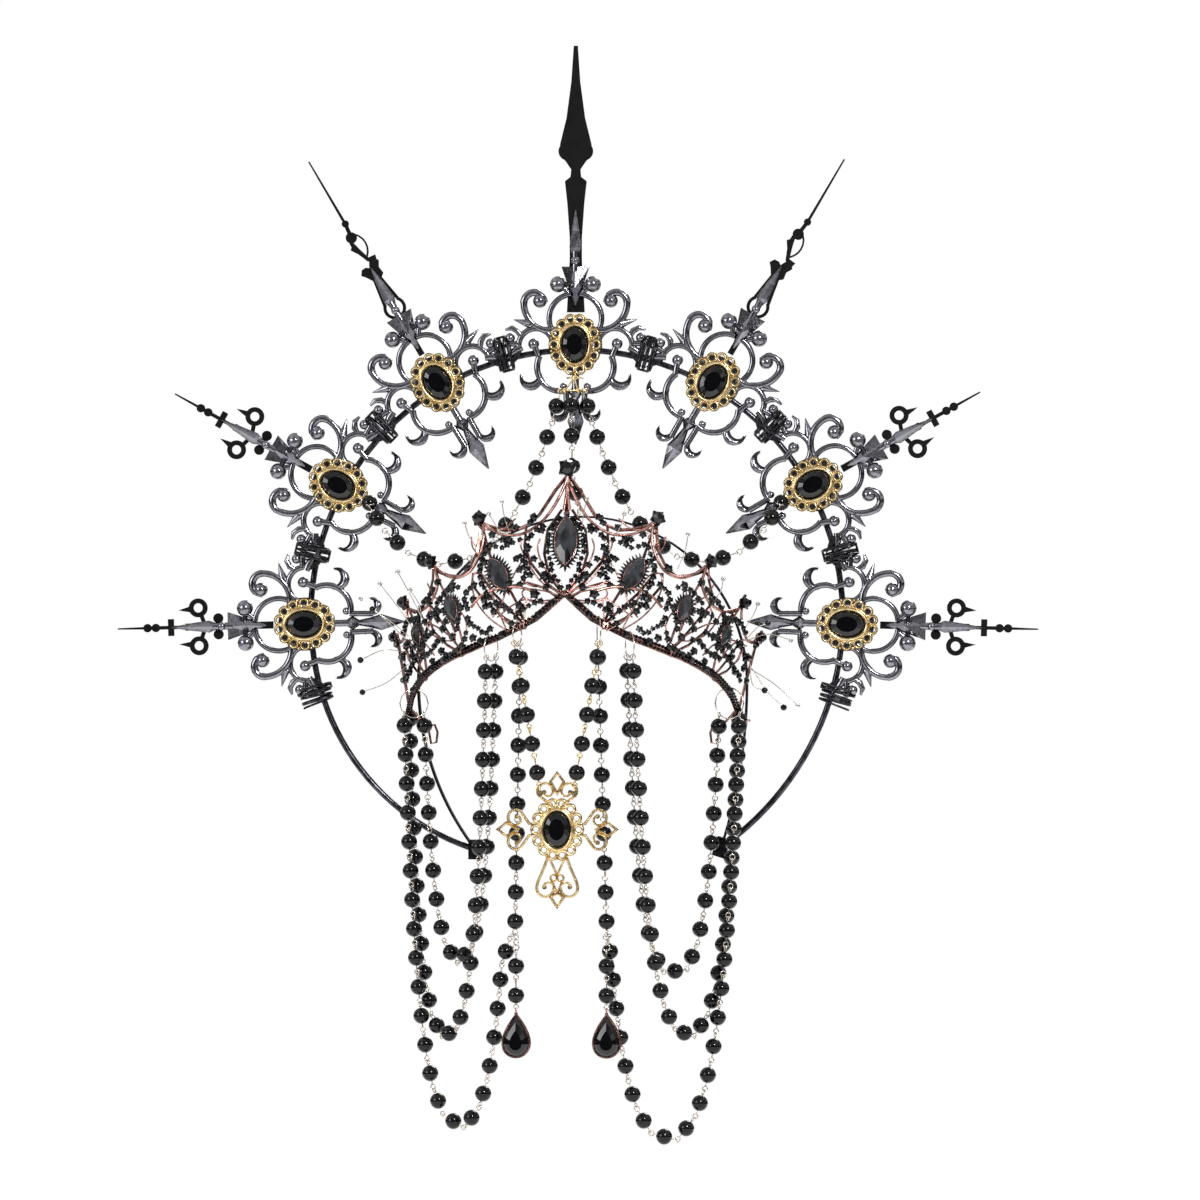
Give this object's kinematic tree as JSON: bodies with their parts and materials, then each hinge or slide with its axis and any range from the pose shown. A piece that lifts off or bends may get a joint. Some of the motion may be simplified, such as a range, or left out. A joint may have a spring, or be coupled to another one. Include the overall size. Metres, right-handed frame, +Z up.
{
  "type": "halo crown",
  "caption": "Gothic halo crown: wire halo of cast fleur medallions with clock-hand spikes, wire tiara with dark crystals, cross pendant and swags of black beads.",
  "frame": {"origin": "middle of the halo and of the tiara, at the height of the underside of the headband's top, where it sits on the head", "axes": "+Z up as worn, the wearer faces -Y, +X is to the right of a viewer in front"},
  "size_m": [0.4564, 0.0821, 0.54],
  "materials": {
    "black_nickel": "black nickel plate, glossy",
    "black_steel": "black painted spring steel",
    "gunmetal": "polished gunmetal plate with dark recesses",
    "black_lacquer": "satin black lacquer",
    "antique_gold": "antiqued gold plate",
    "rose_gold": "rose gold plate",
    "black_crystal": "opaque black faceted crystal",
    "grey_crystal": "smoky grey faceted crystal",
    "black_wire": "black binding wire",
    "black_bead": "glossy black beads on plated wire"
  },
  "bodies": {
    "crown": {"halo_frame": "black_nickel", "headband": "black_steel", "medallion_1": "gunmetal", "medallion_2": "gunmetal", "medallion_3": "gunmetal", "medallion_4": "gunmetal", "medallion_5": "gunmetal", "medallion_6": "gunmetal", "medallion_7": "gunmetal", "clock_hand_1": "black_lacquer", "clock_hand_2": "black_lacquer", "clock_hand_3": "black_lacquer", "clock_hand_4": "black_lacquer", "clock_hand_5": "black_lacquer", "clock_hand_6": "black_lacquer", "clock_hand_7": "black_lacquer", "bezel_1": "antique_gold", "bezel_2": "antique_gold", "bezel_3": "antique_gold", "bezel_4": "antique_gold", "bezel_5": "antique_gold", "bezel_6": "antique_gold", "bezel_7": "antique_gold", "stone_1": "black_crystal", "stone_2": "black_crystal", "stone_3": "black_crystal", "stone_4": "black_crystal", "stone_5": "black_crystal", "stone_6": "black_crystal", "stone_7": "black_crystal", "wire_bindings": "black_wire", "tiara_frame": "rose_gold", "tiara_stones": "black_crystal", "marquise_1": "grey_crystal", "marquise_2": "grey_crystal", "marquise_3": "grey_crystal", "marquise_4": "grey_crystal", "marquise_5": "grey_crystal", "marquise_6": "grey_crystal", "marquise_7": "grey_crystal", "long_swag_left": "black_bead", "long_swag_right": "black_bead", "middle_swag_left": "black_bead", "middle_swag_right": "black_bead", "short_swag_left": "black_bead", "short_swag_right": "black_bead", "pendant_string_left": "black_bead", "pendant_string_right": "black_bead", "halo_swag_left": "black_bead", "halo_swag_right": "black_bead", "string_cap": "antique_gold", "centre_string": "black_bead"},
    "pendant": {"cross_pendant": "antique_gold", "cross_stone": "black_crystal"},
    "drop_left": {"drop_setting_left": "rose_gold", "drop_stone_left": "black_crystal"},
    "drop_right": {"drop_setting_right": "rose_gold", "drop_stone_right": "black_crystal"}
  },
  "joints": [
    {"name": "pendant_swing", "type": "hinge", "parent": "crown", "child": "pendant", "pos_m": [-0.00304, -0.06915, -0.13143], "axis": [1, 0, 0], "range_deg": [-60, 3]},
    {"name": "drop_left_swing", "type": "hinge", "parent": "crown", "child": "drop_left", "pos_m": [-0.02386, -0.06042, -0.24003], "axis": [1, 0, 0], "range_deg": [-60, 12]},
    {"name": "drop_right_swing", "type": "hinge", "parent": "crown", "child": "drop_right", "pos_m": [0.02036, -0.06002, -0.24], "axis": [1, 0, 0], "range_deg": [-60, 12]}
  ]
}
